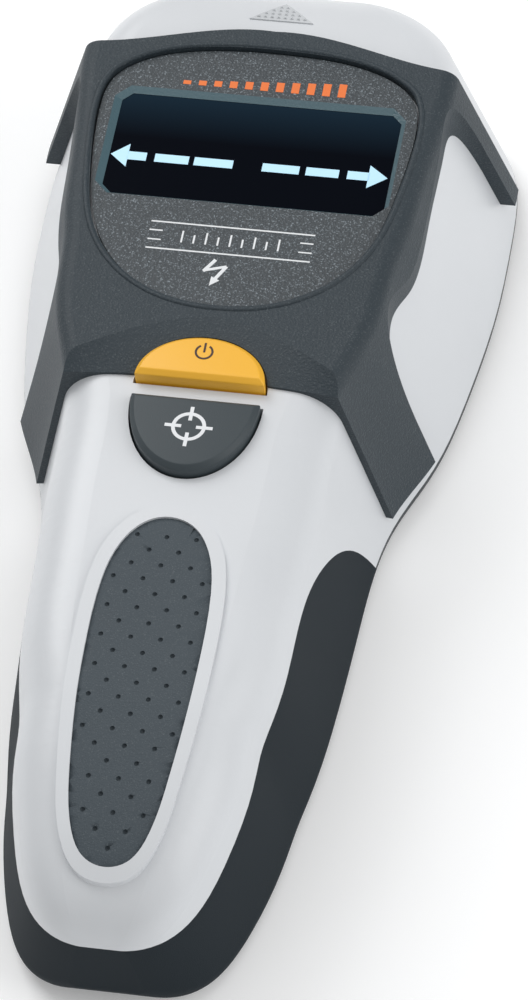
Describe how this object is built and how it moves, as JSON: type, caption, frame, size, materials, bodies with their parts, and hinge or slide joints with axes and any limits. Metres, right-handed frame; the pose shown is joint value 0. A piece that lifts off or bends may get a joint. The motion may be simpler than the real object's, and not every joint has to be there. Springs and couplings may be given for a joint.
{
  "type": "stud finder",
  "caption": "Handheld wall scanner with a wide head, display, two thumb buttons, dimpled handle pad, soft grip and a hinged battery door in the back.",
  "frame": {"origin": "centre of the flat sensing back, at the bottom of the part as it lies on its back", "axes": "+X to the tool's right as seen from the display, +Y to the nose, +Z out of the display"},
  "size_m": [0.0812, 0.185, 0.0394],
  "materials": {
    "white_shell": "satin pearly white moulded shell",
    "back_shell": "fine matt moulded back",
    "bezel_grain": "dark grey moulded grain",
    "panel_sparkle": "dark plate with a coarse sparkle grain",
    "display_glass": "smooth black tinted display window",
    "soft_grip": "smooth matt soft grip",
    "pad_rubber": "fine grained dimpled rubber",
    "mode_yellow": "satin yellow orange",
    "cal_grey": "dark grey button",
    "marker_clear": "clear lens with fine pyramids",
    "lamp_red": "red lamp body",
    "board_green": "solder mask on glass fibre board",
    "copper": "bare copper",
    "black_part": "black moulded component",
    "ivory_part": "pale moulded holder",
    "lcd_glass": "liquid crystal cell",
    "bright_metal": "nickel plated",
    "screw_steel": "zinc plated screw",
    "battery_case": "plain printed battery case",
    "wire_red": "red wire insulation",
    "wire_black": "black wire insulation",
    "foam_grey": "closed cell foam"
  },
  "bodies": {
    "root": {"front_cover": "white_shell", "rear_cover": "back_shell", "soft_grip": "soft_grip", "thumb_pad": "pad_rubber", "bezel": "bezel_grain", "display_panel": "panel_sparkle", "display_lens": "display_glass", "lcd_glass": "lcd_glass", "lcd_backlight": "ivory_part", "lcd_holder": "black_part", "lcd_connectors": "foam_grey", "marker_lens": "marker_clear", "marker_led": "lamp_red", "mode_switch": "black_part", "cal_switch": "black_part", "main_board": "board_green", "controller_chip": "black_part", "clock_crystal": "bright_metal", "filter_capacitors": "battery_case", "buzzer": "black_part", "sensor_board": "board_green", "sensor_plates": "copper", "coil_bobbin": "ivory_part", "coil_winding": "copper", "link_socket": "black_part", "link_header": "black_part", "battery": "battery_case", "battery_terminals": "bright_metal", "battery_snap": "black_part", "battery_lead_red": "wire_red", "battery_lead_black": "wire_black", "door_pin": "bright_metal", "housing_screws": "screw_steel", "board_screws": "screw_steel", "sensor_screws": "screw_steel"},
    "mode_button": {"mode_button": "mode_yellow", "mode_plunger": "black_part"},
    "cal_button": {"cal_button": "cal_grey", "cal_plunger": "black_part"},
    "battery_door": {"battery_door": "back_shell", "door_foam": "foam_grey"}
  },
  "joints": [
    {"name": "mode_press", "type": "slide", "parent": "root", "child": "mode_button", "axis": [0, 0, -1], "range_m": [0, 0.001], "stiffness_N_per_m": 900, "springref_m": -0.0004},
    {"name": "cal_press", "type": "slide", "parent": "root", "child": "cal_button", "axis": [0, 0, -1], "range_m": [0, 0.001], "stiffness_N_per_m": 900, "springref_m": -0.0004},
    {"name": "door_hinge", "type": "hinge", "parent": "root", "child": "battery_door", "pos_m": [0, -0.067, 0.0014], "axis": [1, 0, 0], "range_deg": [-80, 0]}
  ]
}
